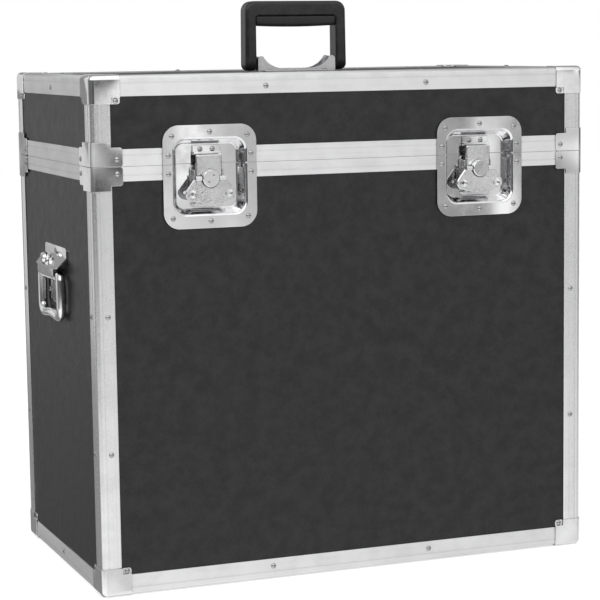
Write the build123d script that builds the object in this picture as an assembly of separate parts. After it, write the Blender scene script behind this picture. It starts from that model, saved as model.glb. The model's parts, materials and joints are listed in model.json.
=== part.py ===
from build123d import *
import os

# Aluminium camera case: laminated panels in double angle extrusions, two recessed
# butterfly latches, a folding top handle, a strap bail on each end and hinges behind.
# Millimetres. X runs along the case, the front is at -Y and +Z is up. The case stands
# on its bottom corner caps at z = 0.

# Case body, measured over the corner caps
CASE_W = 580.0
CASE_D = 322.0
CASE_H = 556.0
LID_H = 96.0            # from the seam, where the lid meets the base, to the top
SEAM_GAP = 0.3
FIT = 0.3               # clearance of a cut-out round what passes through it
BEND_SHARE = 0.9        # outer bend radius of folded sheet, as a share of its thickness
TOUCH = 0.01            # tolerance when an edge is picked by its place

# Double angle extrusion
LEG = 22.0              # outer leg
LEG_T = 1.6
EDGE_R = 5.0            # rounded outer edge
INNER_LEG = 18.0        # reach of the inner angle from the outer faces
INNER_T = 1.4
PANEL_T = 7.0
RIDGE_AT = (7.5,)       # shallow grooves along each leg, from the outer edge
RIDGE_W = 1.2
RIDGE_DEEP = 0.2
LIP_W = 5.5             # strip along the free edge of each leg that slopes down to the panel
LIP_DROP = 0.4
MITRE_GAP = 0.1

# Closure rails at the seam
LID_RAIL_H = 18.0
BASE_RAIL_H = 15.5
GROOVE_DEEP = 6.0       # groove in the lid rail
TONGUE_H = 4.5          # tongue on the base rail
TONGUE_OUT = 2.4        # tongue's outer face, from the outside of the rail
TONGUE_T = 4.6
TONGUE_CHAMFER = 0.9
RAIL_RIDGE_UP = 0.62    # place of the groove, as a share of the rail's height from the seam

# Corner caps and braces
CAP_T = 1.0
CAP_SIDE = 34.0
CAP_TALL = 31.0
CAP_LUG_R = 3.0
CAP_EASE = 0.3          # how much tighter the caps are bent than the edge under them
BRACE_FRONT = 35.0
BRACE_END = 44.0
BRACE_H = 20.0
BRACE_TAB_H = 5.5       # narrower part that runs on up the post
BRACE_TAB_CUT = 13.0
BRACE_R = 3.0           # rounded corners of the wide part

# Latch dish, in its own frame: x right, y up, z out of the case, from the flange's front
LATCH_IN = 131.0        # middle of the latch, from the end of the case
DISH_DROP = 13.6        # centre below the seam
DISH_W = 105.0
DISH_H = 110.0
DISH_R = 18.0
DISH_T = 1.2
DISH_DEPTH = 14.0
OPEN_W = 80.0
OPEN_H = 80.0
OPEN_R = 13.0
FLOOR_W = 70.0
FLOOR_H = 70.0
FLOOR_R = 9.0
RIM_R = 3.2
FLOOR_FILLET = 2.0

# Keeper on the lid
KEEPER_W = 31.0
KEEPER_T = 1.5
KEEPER_LOW = 22.7
KEEPER_TALL = 10.0
KEEPER_CURL = 2.0
HOOK_CLEAR = 0.3        # between the hook's lip and the keeper's lip

# Hook plate
HOOK_W = 29.0
HOOK_T = 1.5
HOOK_BACK = 3.5         # front face behind the flange's front
HOOK_TOP = 23.2
HOOK_LOW = -22.0
HOOK_LIP = 2.7          # lip at the top and walls at the sides, behind the plate
HOOK_LIFT = 8.0
HOOK_R = 2.0            # corners of the plate
HOOK_WINDOW_R = 3.0
HOOK_WALL_IN = 3.0      # where the lip and the side walls stop short of the plate's ends

# Spindle
AXIS_DROP = 2.0         # below the middle of the dish
BOSS_R = 9.4
BOSS_PROUD = 4.0
BOSS_CHAMFER = 0.8
BOSS_DOT = (2.6, 3.6)   # places of its two punched dots, each side of its middle
BOSS_DOT_R = 2.0
BOSS_DOT_DEEP = 0.8
SHAFT_R = 2.6
COLLAR_R = 9.0
COLLAR_T = 1.5
PLAY = 0.4
RUN = 0.05              # running clearance of a shaft in its hole

# Wing
WING_T = 2.0
WING_PIN_R = 1.5
WING_EAR_R = 2.7
SHOULDER_X = 16.6
LOBE_X = 20.3
LOBE_Y = -18.2
LOBE_R = 7.5
LOBE_HOLE_R = 1.8
DIMPLE_R = 4.6          # pressed round each hole
DIMPLE_DEEP = 0.8
WING_LOW = -29.6
WING_BELLY_R = 12.0
WING_GAP = 1.1
WING_CHAMFER = 0.6

# Latch bracket
BRACKET_W = 38.0
BRACKET_T = 1.5
BRACKET_LOW = -32.5
BRACKET_TOP = 12.0
BRACKET_WALL_LOW = -16.0
BRACKET_R = 5.0
BRACKET_SLOT = (6.0, 2.4)       # slot cut in from each side, near the lower end

# Handle, from the top panel up
HANDLE_W = 123.0        # across the bar
HANDLE_FLARE = 1.0      # each arm leans out by this much at its foot
HANDLE_D = 21.0
HANDLE_UP = 78.0        # top of the bar above the top of the case
HANDLE_BAR = 17.0
HANDLE_ARM = 12.7
HANDLE_TOP_R = 11.0
HANDLE_HEEL_R = 6.0
HANDLE_EDGE_R = 3.0
GRIP_H = 11.0
GRIP_BELLY = 1.4
HANDLE_PIVOT_UP = 11.6  # above the top panel
HANDLE_PIN_R = 2.5
HANDLE_PIN_HEAD_R = 4.0
BRACKET_EAR_GAP = 1.2
EAR_T = 2.0
EAR_TALL = 18.0
SCALLOP_FLOOR = 4.0     # height of the bracket's wall at its middle
SCALLOP_FLAT = 34.0     # level stretch between the two arcs of the wall
HANDLE_FOOT_X = 6.0     # how far the foot stops short of the ears
HANDLE_FOOT_Y = 9.0     # how far the foot reaches past the walls

# Strap fitting on each end
BAIL_WIRE_R = 5.0
BAIL_W = 91.0
BAIL_DROP = 125.0       # pivot below the seam
BAIL_REACH = 52.0       # lowest point below the pivot
BAIL_CORNER_R = 11.0
BAIL_TIGHT_R = 6.0      # bend beside the pivot
BAIL_BOW = 2.0
BAIL_CLEAR = 0.6        # between the wire and the plate behind it
FITTING_T = 1.5
FITTING_W = 92.0
FITTING_UP = 30.5       # these three are heights above the pivot
SLOPE_TOP_UP = 19.5
SLOPE_LOW_UP = 7.5
FLANGE_R = 4.0          # rounded upper corners
SLOPE_R = 6.0           # rounded ends of the lower bend
TONGUE_CLEAR = 1.0
CURL_CLEAR = 0.4
CURL_UNDER = 0.62       # how far the curl reaches under the wire, as a share of its radius
PLATE_DROP = 34.0       # lower and upper edge of the plate, below the pivot
PLATE_TOP_DROP = 10.0
PLATE_R = 3.0
PLATE_RIVET_IN = 5.0
DOME_R = 7.2
DOME_Y = 17.0           # from the middle of the fitting
DOME_PROUD = 1.4        # its centre stands this far out from the slope, both ways

# Hinges
HINGE_W = 64.0
LEAF_T = 1.5
LEAF_H = 34.0
KNUCKLE_R = 4.0
KNUCKLE_NEAR = 0.8      # gap between the knuckle and the rails
KNUCKLES = 5
KNUCKLE_GAP = 0.3
PIN_R = 2.0
PIN_HEAD_R = 3.4
PIN_HEAD_T = 1.2
LEAF_NOTCH = 3.4
LEAF_R = 4.0
LEAF_RIVET_X = 20.0     # from the middle of the leaf
LEAF_RIVET_IN = 7.0     # from its end
LEAF_RIVET_UP = 0.6     # on the rail, as a share of its height

# Foam
FLOOR_FOAM_T = 20.0
WALL_FOAM_T = 14.0
WALL_FOAM_DROP = 6.0    # top of the wall pads below the seam
LID_FOAM_T = 28.0
FOAM_POCKET = 8.0
FOAM_CLEAR = 2.0        # round the dishes

# Rivets
RIVET_R = 3.0
RIVET_H = 1.3
RIVET_SIDES = 8
RIVET_TAPER = 35
FLUSH_H = 0.8
RIVET_IN = 14.0         # from the outer face of the extrusions
LONG_RAIL_RIVET_IN = 196.0      # from the end of the case
POST_RIVET_DROPS = (305.0, 158.0)   # below the seam
BRACE_RIVET_IN = 6.0    # from the end of each leg
BRACE_RIVET_UP = 0.38   # as a share of the brace's height
DISH_CORNER_IN = 4.0    # corner rivets of the flange, in from its middle line
DISH_SEAM_OFF = 9.8     # rivets beside the seam, above and below it
KEEPER_RIVET_X = 7.0
KEEPER_RIVET_IN = 4.0
BRACKET_RIVET_X = 8.0
BRACKET_RIVET_IN = 6.0
HANDLE_RIVET_IN = 8.0   # from the end of the foot

# Worked out from the sizes above
FX = CASE_W / 2 - CAP_T
FY = CASE_D / 2 - CAP_T
FZ0 = CAP_T
FZ1 = CASE_H - CAP_T
SEAM_Z = CASE_H - LID_H
LATCH_X = CASE_W / 2 - LATCH_IN
HINGE_X = LATCH_X
LONG_RAIL_RIVET_X = CASE_W / 2 - LONG_RAIL_RIVET_IN
HANDLE_TOP = CASE_H + HANDLE_UP
BAIL_PIVOT_Z = SEAM_Z - BAIL_DROP
BAIL_LOW = BAIL_PIVOT_Z - BAIL_REACH
FITTING_TOP = BAIL_PIVOT_Z + FITTING_UP
SLOPE_TOP = BAIL_PIVOT_Z + SLOPE_TOP_UP
SLOPE_LOW = BAIL_PIVOT_Z + SLOPE_LOW_UP
PLATE_LOW = BAIL_PIVOT_Z - PLATE_DROP
PLATE_TOP = BAIL_PIVOT_Z - PLATE_TOP_DROP
SLOT = LEG_T + PANEL_T + INNER_T
PANEL_IN = LEG_T + PANEL_T
LID_Z = SEAM_Z + SEAM_GAP / 2
BASE_Z = SEAM_Z - SEAM_GAP / 2
TOP_Z = FZ1 - LEG_T
DISH_Z = SEAM_Z - DISH_DROP
WALL_FOAM_TOP = SEAM_Z - WALL_FOAM_DROP
DISH_BACK = DISH_DEPTH + DISH_T
CAM_E = HOOK_LIFT / 2
CAM_R = CAM_E + SHAFT_R
WINDOW_SLACK = 0.22 * CAM_E + PLAY
HOOK_Z = -HOOK_BACK
LIP_Z = HOOK_Z - HOOK_T - HOOK_LIP
PIVOT_OUT = KNUCKLE_NEAR + KNUCKLE_R
PIVOT_Y = FY + PIVOT_OUT
PIVOT_Z = SEAM_Z
HANDLE_PIVOT_Z = TOP_Z + HANDLE_PIVOT_UP
EAR_OUT = HANDLE_W / 2 - HANDLE_ARM - BRACKET_EAR_GAP
BAIL_OUT = FITTING_T + BAIL_WIRE_R + BAIL_CLEAR
BAIL_HALF = BAIL_W / 2 - BAIL_WIRE_R
CURL_IN = BAIL_WIRE_R + CURL_CLEAR
CURL_OUT = CURL_IN + FITTING_T
Y_SHIFT = (DISH_T + BOSS_PROUD - PIVOT_OUT - KNUCKLE_R) / 2
SIDES = (-1, 1)
LOW = (Align.MIN, Align.MIN)


def span(x0, x1, y0, y1, z0, z1):
    """Block between two corners."""
    centre = ((x0 + x1) / 2, (y0 + y1) / 2, (z0 + z1) / 2)
    return Pos(*centre) * Box(x1 - x0, y1 - y0, z1 - z0)


def on_face(face, a, b, out=0.0):
    """Plane on a face of the frame: a and b run along it, out is away from the case."""
    if face == "front":
        return Plane((a, -FY - out, b), x_dir=(1, 0, 0), z_dir=(0, -1, 0))
    if face == "back":
        return Plane((a, FY + out, b), x_dir=(-1, 0, 0), z_dir=(0, 1, 0))
    if face == "left":
        return Plane((-FX - out, a, b), x_dir=(0, -1, 0), z_dir=(-1, 0, 0))
    if face == "right":
        return Plane((FX + out, a, b), x_dir=(0, 1, 0), z_dir=(1, 0, 0))
    if face == "top":
        return Plane((a, b, FZ1 + out), x_dir=(1, 0, 0), z_dir=(0, 0, 1))
    return Plane((a, b, FZ0 - out), x_dir=(1, 0, 0), z_dir=(0, 0, -1))


def latch_plane(x):
    """Frame of a latch: origin at the dish's middle, on the front of its flange."""
    return on_face("front", x, DISH_Z, DISH_T)


def group(solids):
    """One node of several separate solids."""
    flat = []
    for item in solids:
        flat.extend(item.solids())
    return Compound(flat)


def rivet(plane, height=RIVET_H):
    """Low tapered rivet head that sits on a surface."""
    return plane * extrude(RegularPolygon(RIVET_R, RIVET_SIDES), height, taper=RIVET_TAPER)


# Frame

def envelope():
    """Case body with every outer edge rounded, as the extrusions are."""
    body = span(-FX, FX, -FY, FY, FZ0, FZ1)
    return fillet(body.edges(), EDGE_R)


def double_angle():
    """Section of a corner extrusion, with its outer edge at the origin."""
    outer = Rectangle(LEG, LEG, align=LOW)
    outer = fillet(outer.vertices().sort_by(lambda v: v.X + v.Y)[0], EDGE_R)
    inside = Pos(LEG_T, LEG_T) * Rectangle(LEG, LEG, align=LOW)
    inside = fillet(inside.vertices().sort_by(lambda v: v.X + v.Y)[0], EDGE_R - LEG_T)
    section = outer - inside
    for at in RIDGE_AT:
        section -= Pos(at, 0) * Rectangle(RIDGE_W, RIDGE_DEEP, align=LOW)
        section -= Pos(0, at) * Rectangle(RIDGE_DEEP, RIDGE_W, align=LOW)
    start = LEG - LIP_W
    section -= make_face(Polyline((start, 0), (LEG, 0), (LEG, LIP_DROP), close=True))
    section -= make_face(Polyline((0, start), (0, LEG), (LIP_DROP, LEG), close=True))
    reach = INNER_LEG - LEG_T
    section += Pos(LEG_T, PANEL_IN) * Rectangle(reach, INNER_T, align=LOW)
    section += Pos(PANEL_IN, LEG_T) * Rectangle(INNER_T, reach, align=LOW)
    return section


def bar(section, middle, inward, up, length):
    """Straight length of a section whose x runs inward and y runs up."""
    run = Vector(*inward).cross(Vector(*up))
    plane = Plane(middle, x_dir=inward, z_dir=run)
    return extrude(plane * section, length / 2, both=True)


def mitre(corners):
    """Upright prism that trims a rail of a ring to its mitred ends."""
    return Pos(0, 0, -LEG) * extrude(make_face(Polyline(*corners, close=True)), CASE_H + 2 * LEG)


def ring(section, z, up):
    """Four mitred rails round the case at one height."""
    deep = LEG + EDGE_R
    g = MITRE_GAP
    rails = []
    for s in SIDES:
        long_rail = bar(section, (0, s * FY, z), (0, -s, 0), (0, 0, up), 2 * FX)
        trim = [(-FX + g, s * FY), (FX - g, s * FY), (FX - deep - g, s * (FY - deep)),
                (-FX + deep + g, s * (FY - deep))]
        rails.append(long_rail & mitre(trim))
        end_rail = bar(section, (s * FX, 0, z), (-s, 0, 0), (0, 0, up), 2 * FY)
        trim = [(s * FX, -FY + g), (s * FX, FY - g), (s * (FX - deep), FY - deep - g),
                (s * (FX - deep), -FY + deep + g)]
        rails.append(end_rail & mitre(trim))
    body = envelope()
    return [rail & body for rail in rails]


def corner_posts(z0, z1):
    """Four upright extrusions between two heights."""
    section = double_angle()
    posts = []
    for sx in SIDES:
        for sy in SIDES:
            middle = (sx * FX, sy * FY, (z0 + z1) / 2)
            posts.append(bar(section, middle, (-sx, 0, 0), (0, -sy, 0), z1 - z0))
    return posts


def lid_closure_section():
    """Lid rail: outer and inner leg, with the groove open downwards."""
    section = Rectangle(LEG_T, LID_RAIL_H, align=LOW)
    section -= Pos(0, LID_RAIL_H * RAIL_RIDGE_UP) * Rectangle(RIDGE_DEEP, RIDGE_W, align=LOW)
    section += Pos(0, GROOVE_DEEP) * Rectangle(SLOT, INNER_T, align=LOW)
    section += Pos(PANEL_IN, 0) * Rectangle(INNER_T, LID_RAIL_H, align=LOW)
    return section


def base_closure_section():
    """Base rail: outer and inner leg under a web that carries the tongue."""
    section = Pos(0, -BASE_RAIL_H) * Rectangle(LEG_T, BASE_RAIL_H, align=LOW)
    section -= Pos(0, -BASE_RAIL_H * RAIL_RIDGE_UP) * Rectangle(RIDGE_DEEP, RIDGE_W, align=LOW)
    section += Pos(0, -INNER_T) * Rectangle(SLOT, INNER_T, align=LOW)
    section += Pos(PANEL_IN, -BASE_RAIL_H) * Rectangle(INNER_T, BASE_RAIL_H, align=LOW)
    tongue = Rectangle(TONGUE_T, TONGUE_H, align=LOW)
    tongue = chamfer(tongue.vertices().group_by(Axis.Y)[-1], TONGUE_CHAMFER)
    return section + Pos(TONGUE_OUT, 0) * tongue


def dish_windows():
    """Cut-outs in the front for the two dishes."""
    wide = OPEN_W + 2 * (RIM_R + FIT)
    tall = OPEN_H + 2 * (RIM_R + FIT)
    outline = RectangleRounded(wide, tall, OPEN_R + RIM_R)
    window = Pos(0, 0, -DISH_BACK - SLOT) * extrude(outline, DISH_BACK + SLOT - DISH_T + LEG_T)
    return [latch_plane(s * LATCH_X) * window for s in SIDES]


def closure_rails(section, z):
    """Closure rails round the seam, cut away at the dishes."""
    rails = ring(section, z, 1)
    for window in dish_windows():
        rails = [rail - window for rail in rails]
    return rails


# Panels

def wall_panel(face, z0, z1):
    """Upright panel between the posts, its outer face behind the legs."""
    if face in ("front", "back"):
        s = -1 if face == "front" else 1
        y0, y1 = sorted((s * (FY - LEG_T), s * (FY - PANEL_IN)))
        panel = span(-FX + SLOT, FX - SLOT, y0, y1, z0, z1)
    else:
        s = -1 if face == "left" else 1
        x0, x1 = sorted((s * (FX - LEG_T), s * (FX - PANEL_IN)))
        panel = span(x0, x1, -FY + SLOT, FY - SLOT, z0, z1)
    if face == "front":
        for window in dish_windows():
            panel -= window
    return panel


def flat_panel(z):
    """Top or bottom panel, from its lower face up."""
    return span(-FX + SLOT, FX - SLOT, -FY + SLOT, FY - SLOT, z, z + PANEL_T)


# Corner caps and braces

def corner_cap():
    """Three-faced cap with its outer corner at the origin and the case at +x, +y, +z."""
    size = (CAP_SIDE, CAP_SIDE, CAP_TALL)
    outer = span(0, size[0], 0, size[1], 0, size[2])
    near = [e for e in outer.edges() if e.center().length < max(size) * 0.6]
    outer = fillet(near, EDGE_R + CAP_T)
    inner = span(CAP_T, 2 * size[0], CAP_T, 2 * size[1], CAP_T, 2 * size[2])
    near = [e for e in inner.edges() if sum(abs(v - CAP_T) < TOUCH for v in e.center()) == 2]
    inner = fillet(near, EDGE_R - CAP_EASE)
    cap = outer - inner
    start = CAP_T + LEG + FIT
    low = CAP_T + LEG_T
    for axis in range(3):
        a, b = [i for i in range(3) if i != axis]
        lug = cap_block(axis, a, b, 0, low, start, size[a], start, size[b])
        corner = max(lug.edges().filter_by([Axis.X, Axis.Y, Axis.Z][axis]),
                     key=lambda e: e.center().length)
        lug = fillet(corner, CAP_LUG_R)
        step = start + CAP_T
        lug -= cap_block(axis, a, b, 0, low - CAP_T, step, 2 * size[a], step, 2 * size[b])
        cap -= cap_block(axis, a, b, 0, low, start, 2 * size[a], start, 2 * size[b])
        cap += lug
    return cap


def cap_block(axis, a, b, d0, d1, a0, a1, b0, b1):
    """Block with its depth along one axis and its sides along the other two."""
    low = [0, 0, 0]
    high = [0, 0, 0]
    low[axis], high[axis] = d0, d1
    low[a], high[a] = a0, a1
    low[b], high[b] = b0, b1
    return span(low[0], high[0], low[1], high[1], low[2], high[2])


def cap_corners(top):
    """The cap at each of four corners, by mirroring."""
    cap = Pos(-CASE_W / 2, -CASE_D / 2, 0) * corner_cap()
    if top:
        cap = mirror(cap, about=Plane((0, 0, CASE_H / 2), z_dir=(0, 0, 1)))
    right = mirror(cap, about=Plane.YZ)
    return [cap, right, mirror(cap, about=Plane.XZ), mirror(right, about=Plane.XZ)]


def brace_angle(front, end):
    """Section of a brace round the front left edge."""
    outer = Rectangle(front, end, align=LOW)
    outer = fillet(outer.vertices().sort_by(lambda v: v.X + v.Y)[0], EDGE_R + CAP_T)
    inside = Pos(CAP_T, CAP_T) * Rectangle(front, end, align=LOW)
    inside = fillet(inside.vertices().sort_by(lambda v: v.X + v.Y)[0], EDGE_R - CAP_EASE)
    return Pos(-CASE_W / 2, -CASE_D / 2) * (outer - inside)


def braces(up):
    """Four braces above or below the seam."""
    wide = extrude(brace_angle(BRACE_FRONT, BRACE_END), BRACE_H)
    wide = fillet(wide.edges().filter_by(Axis.Y).sort_by(Axis.X)[-2:], BRACE_R)
    wide = fillet(wide.edges().filter_by(Axis.X).sort_by(Axis.Y)[-2:], BRACE_R)
    narrow = brace_angle(BRACE_FRONT - BRACE_TAB_CUT, BRACE_END - BRACE_TAB_CUT)
    brace = wide + extrude(narrow, BRACE_H + BRACE_TAB_H)
    if up > 0:
        brace = Pos(0, 0, LID_Z) * brace
    else:
        brace = mirror(Pos(0, 0, -BASE_Z) * brace, about=Plane.XY)
    right = mirror(brace, about=Plane.YZ)
    return [brace, right, mirror(brace, about=Plane.XZ), mirror(right, about=Plane.XZ)]


# Latch pieces, in the latch's own frame

def frustum(low_size, low_z, high_size, high_z):
    """Loft between two rounded rectangles, each given as width, height, radius."""
    low = Pos(0, 0, low_z) * RectangleRounded(*low_size)
    high = Pos(0, 0, high_z) * RectangleRounded(*high_size)
    return loft([low, high], ruled=True)


def inner_edges(shape, z):
    """Edges of a dish at one depth that bound its recess."""
    edges = []
    for edge in shape.edges().filter_by_position(Axis.Z, z - TOUCH, z + TOUCH):
        at = edge.center()
        if abs(at.X) < (OPEN_W + DISH_W) / 4 and abs(at.Y) < (OPEN_H + DISH_H) / 4:
            edges.append(edge)
    return edges


def latch_dish():
    """Whole pressed dish: flange, drafted walls and floor, with rounded rims."""
    t = DISH_T
    dish = Pos(0, 0, -t) * extrude(RectangleRounded(DISH_W, DISH_H, DISH_R), t)
    dish += frustum((FLOOR_W + 2 * t, FLOOR_H + 2 * t, FLOOR_R + t), -DISH_DEPTH - t,
                    (OPEN_W + 2 * t, OPEN_H + 2 * t, OPEN_R + t), -t)
    dish = fillet(inner_edges(dish, -t), RIM_R - t)
    hollow = frustum((FLOOR_W, FLOOR_H, FLOOR_R), -DISH_DEPTH, (OPEN_W, OPEN_H, OPEN_R), 0)
    hollow = fillet(hollow.edges().group_by(Axis.Z)[0], FLOOR_FILLET)
    dish -= hollow
    return fillet(inner_edges(dish, 0), RIM_R)


def dish_half(dish, upper):
    """Part of the dish above or below the seam."""
    big = DISH_H
    if upper:
        return dish & span(-big, big, DISH_DROP + SEAM_GAP / 2, big, -big, big)
    half = dish & span(-big, big, -big, DISH_DROP - SEAM_GAP / 2, -big, big)
    bore = Pos(0, -AXIS_DROP, -DISH_DEPTH) * Cylinder(SHAFT_R + RUN, 4 * DISH_T)
    return half - bore


def profile_x(points, width):
    """Sheet section in height and depth, pulled along x about the middle."""
    plane = Plane((0, 0, 0), x_dir=(0, 1, 0), z_dir=(1, 0, 0))
    return extrude(plane * make_face(Polyline(*points, close=True)), width / 2, both=True)


def keeper():
    """Strike plate on the upper floor, its lower edge bent out and curled up."""
    floor = -DISH_DEPTH
    tip = LIP_Z - HOOK_CLEAR
    t = KEEPER_T
    low = KEEPER_LOW
    points = [(low, floor), (low + KEEPER_TALL, floor), (low + KEEPER_TALL, floor + t),
              (low + t, floor + t), (low + t, tip - t), (low + t + KEEPER_CURL, tip - t),
              (low + t + KEEPER_CURL, tip), (low, tip)]
    plate = profile_x(points, KEEPER_W)
    return fillet(plate.edges().filter_by(Axis.X).sort_by(lambda e: -e.center().Z + e.center().Y)[0],
                  t * BEND_SHARE)


def hook():
    """Hook plate: window for the cam, side walls bent in, lip over the keeper."""
    t = HOOK_T
    back = HOOK_Z - t
    outline = Pos(0, (HOOK_TOP + HOOK_LOW) / 2) * RectangleRounded(HOOK_W, HOOK_TOP - HOOK_LOW, HOOK_R)
    plate = Pos(0, 0, back) * extrude(outline, t)
    wide = 2 * (CAM_R + CAM_E + PLAY)
    tall = 2 * (CAM_R + WINDOW_SLACK)
    window = extrude(RectangleRounded(wide, tall, HOOK_WINDOW_R), 3 * t)
    window = Pos(0, -AXIS_DROP - CAM_E, back - t) * window
    plate -= window
    for s in SIDES:
        x0, x1 = sorted((s * HOOK_W / 2, s * (HOOK_W / 2 - t)))
        plate += span(x0, x1, HOOK_LOW + HOOK_WALL_IN, KEEPER_LOW - HOOK_LIFT - PLAY, LIP_Z, back + t / 2)
    inset = HOOK_W / 2 - HOOK_WALL_IN
    plate += span(-inset, inset, HOOK_TOP - t, HOOK_TOP, LIP_Z, back + t)
    top = plate.edges().filter_by(Axis.X).filter_by_position(Axis.Z, HOOK_Z - TOUCH, HOOK_Z + TOUCH)
    return fillet(top.sort_by(Axis.Y)[-1], t * BEND_SHARE)


def spindle():
    """Boss, cam, collar and shaft on one axis, headed behind the floor."""
    boss_back = HOOK_Z + PLAY
    cam_back = HOOK_Z - HOOK_T - PLAY
    collar_back = cam_back - COLLAR_T
    floor_back = -DISH_BACK
    boss = Pos(0, 0, boss_back) * extrude(Circle(BOSS_R), BOSS_PROUD - boss_back)
    boss = chamfer(boss.edges().group_by(Axis.Z)[-1], BOSS_CHAMFER)
    cam = Pos(0, -CAM_E, cam_back) * extrude(Circle(CAM_R), boss_back - cam_back)
    collar = Pos(0, 0, collar_back) * extrude(Circle(COLLAR_R), COLLAR_T)
    shaft_low = floor_back - PLAY - COLLAR_T
    shaft = Pos(0, 0, shaft_low) * extrude(Circle(SHAFT_R), collar_back - shaft_low)
    head = Pos(0, 0, shaft_low) * extrude(Circle(2 * SHAFT_R), COLLAR_T)
    body = boss + cam + collar + shaft + head
    for s in SIDES:
        dot = Cone(BOSS_DOT_R / 3, BOSS_DOT_R, 2 * BOSS_DOT_DEEP)
        body -= Pos(s * BOSS_DOT[0], s * BOSS_DOT[1], BOSS_PROUD) * dot
    body -= Rot(0, 90, 0) * Cylinder(WING_PIN_R + RUN, 4 * BOSS_R)
    return Pos(0, -AXIS_DROP, 0) * body


def wing_pin():
    """Pin through the boss and the wing's ears."""
    return Pos(0, -AXIS_DROP, 0) * Rot(0, 90, 0) * Cylinder(WING_PIN_R, 2 * SHOULDER_X)


def wing():
    """Butterfly wing: two lobes below a cut-out round the boss, ears on the pin."""
    pin_y = -AXIS_DROP
    shoulder_r = WING_EAR_R
    circles = [Pos(0, WING_LOW + WING_BELLY_R) * Circle(WING_BELLY_R)]
    for s in SIDES:
        circles.append(Pos(s * (SHOULDER_X - shoulder_r), pin_y) * Circle(shoulder_r))
        circles.append(Pos(s * LOBE_X, LOBE_Y) * Circle(LOBE_R))
    outline = make_hull([e for c in circles for e in c.edges()])
    plate = Pos(0, 0, -WING_T / 2) * extrude(outline, WING_T)
    plate = chamfer(plate.edges().group_by(Axis.Z)[-1], WING_CHAMFER)
    gap = BOSS_R + WING_GAP
    cut = Pos(0, -AXIS_DROP) * Circle(gap) + Pos(0, gap - AXIS_DROP) * Rectangle(2 * gap, 2 * gap)
    plate -= Pos(0, 0, -WING_T) * extrude(cut, 2 * WING_T)
    ball = (DIMPLE_R ** 2 + DIMPLE_DEEP ** 2) / (2 * DIMPLE_DEEP)
    for s in SIDES:
        plate -= Pos(s * LOBE_X, LOBE_Y) * Cylinder(LOBE_HOLE_R, 2 * WING_T)
        plate -= Pos(s * LOBE_X, LOBE_Y, WING_T / 2 - DIMPLE_DEEP + ball) * Sphere(ball)
        ear_in = gap - WING_GAP / 2
        ear = Pos(s * (ear_in + SHOULDER_X) / 2, pin_y) * Rot(0, 90, 0)
        plate += ear * Cylinder(WING_EAR_R, SHOULDER_X - ear_in)
    return plate - Pos(0, pin_y) * Rot(0, 90, 0) * Cylinder(WING_PIN_R + RUN, 4 * SHOULDER_X)


def latch_bracket():
    """Plate on the lower floor with two walls that guide the hook."""
    floor = -DISH_DEPTH
    t = BRACKET_T
    tall = BRACKET_TOP - BRACKET_LOW
    outline = Pos(0, (BRACKET_TOP + BRACKET_LOW) / 2) * RectangleRounded(BRACKET_W, tall, BRACKET_R)
    plate = Pos(0, 0, floor) * extrude(outline, t)
    plate -= Pos(0, -AXIS_DROP, floor) * Cylinder(SHAFT_R + RUN, 4 * t)
    for s in SIDES:
        near = HOOK_W / 2 + PLAY
        x0, x1 = sorted((s * near, s * (near + t)))
        plate += span(x0, x1, BRACKET_WALL_LOW, BRACKET_TOP - BRACKET_R, floor, HOOK_Z - HOOK_T)
        slot = Pos(s * (BRACKET_W - BRACKET_SLOT[0]) / 2, BRACKET_LOW + BRACKET_R, floor)
        plate -= slot * Box(*BRACKET_SLOT, 4 * t)
    return plate


# Handle and its bracket

def handle():
    """U-shaped handle: a bar on two arms whose ends are rounded about the pivot."""
    half = HANDLE_W / 2
    foot = half + HANDLE_FLARE
    low = HANDLE_PIVOT_Z - HANDLE_D / 2
    plane = Plane((0, 0, 0), x_dir=(1, 0, 0), z_dir=(0, -1, 0))
    outline = Polyline((-foot, low), (foot, low), (half, HANDLE_TOP), (-half, HANDLE_TOP), close=True)
    outer = make_face(outline)
    outer = fillet(outer.vertices().group_by(Axis.Y)[-1], HANDLE_TOP_R)
    outer = fillet(outer.vertices().group_by(Axis.Y)[0], HANDLE_HEEL_R)
    inner_top = HANDLE_TOP - HANDLE_BAR
    inner = Pos(0, (inner_top + low) / 2 - LEG) * Rectangle(HANDLE_W - 2 * HANDLE_ARM,
                                                           inner_top - low + 2 * LEG)
    body = extrude(plane * (outer - inner), HANDLE_D / 2, both=True)
    faces = [e for e in body.edges() if abs(abs(e.center().Y) - HANDLE_D / 2) < TOUCH]
    near = half - HANDLE_ARM / 2
    rim = [e for e in faces if abs(e.center().X) > near or e.center().Z > inner_top + HANDLE_BAR / 2]
    body = fillet(rim, HANDLE_EDGE_R)
    side = Plane((0, 0, 0), x_dir=(0, 1, 0), z_dir=(1, 0, 0))
    tall = HANDLE_TOP - HANDLE_PIVOT_Z
    cheek = Pos(0, HANDLE_PIVOT_Z) * Circle(HANDLE_D / 2)
    cheek += Pos(0, HANDLE_PIVOT_Z + tall / 2) * Rectangle(HANDLE_D, tall)
    body &= extrude(side * cheek, foot, both=True)
    return body - pivot_bar(HANDLE_PIN_R + RUN, HANDLE_W - HANDLE_ARM)


def pivot_bar(radius, length):
    """Cylinder along the handle's pivot."""
    return Pos(0, 0, HANDLE_PIVOT_Z) * Rot(0, 90, 0) * Cylinder(radius, length)


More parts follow.
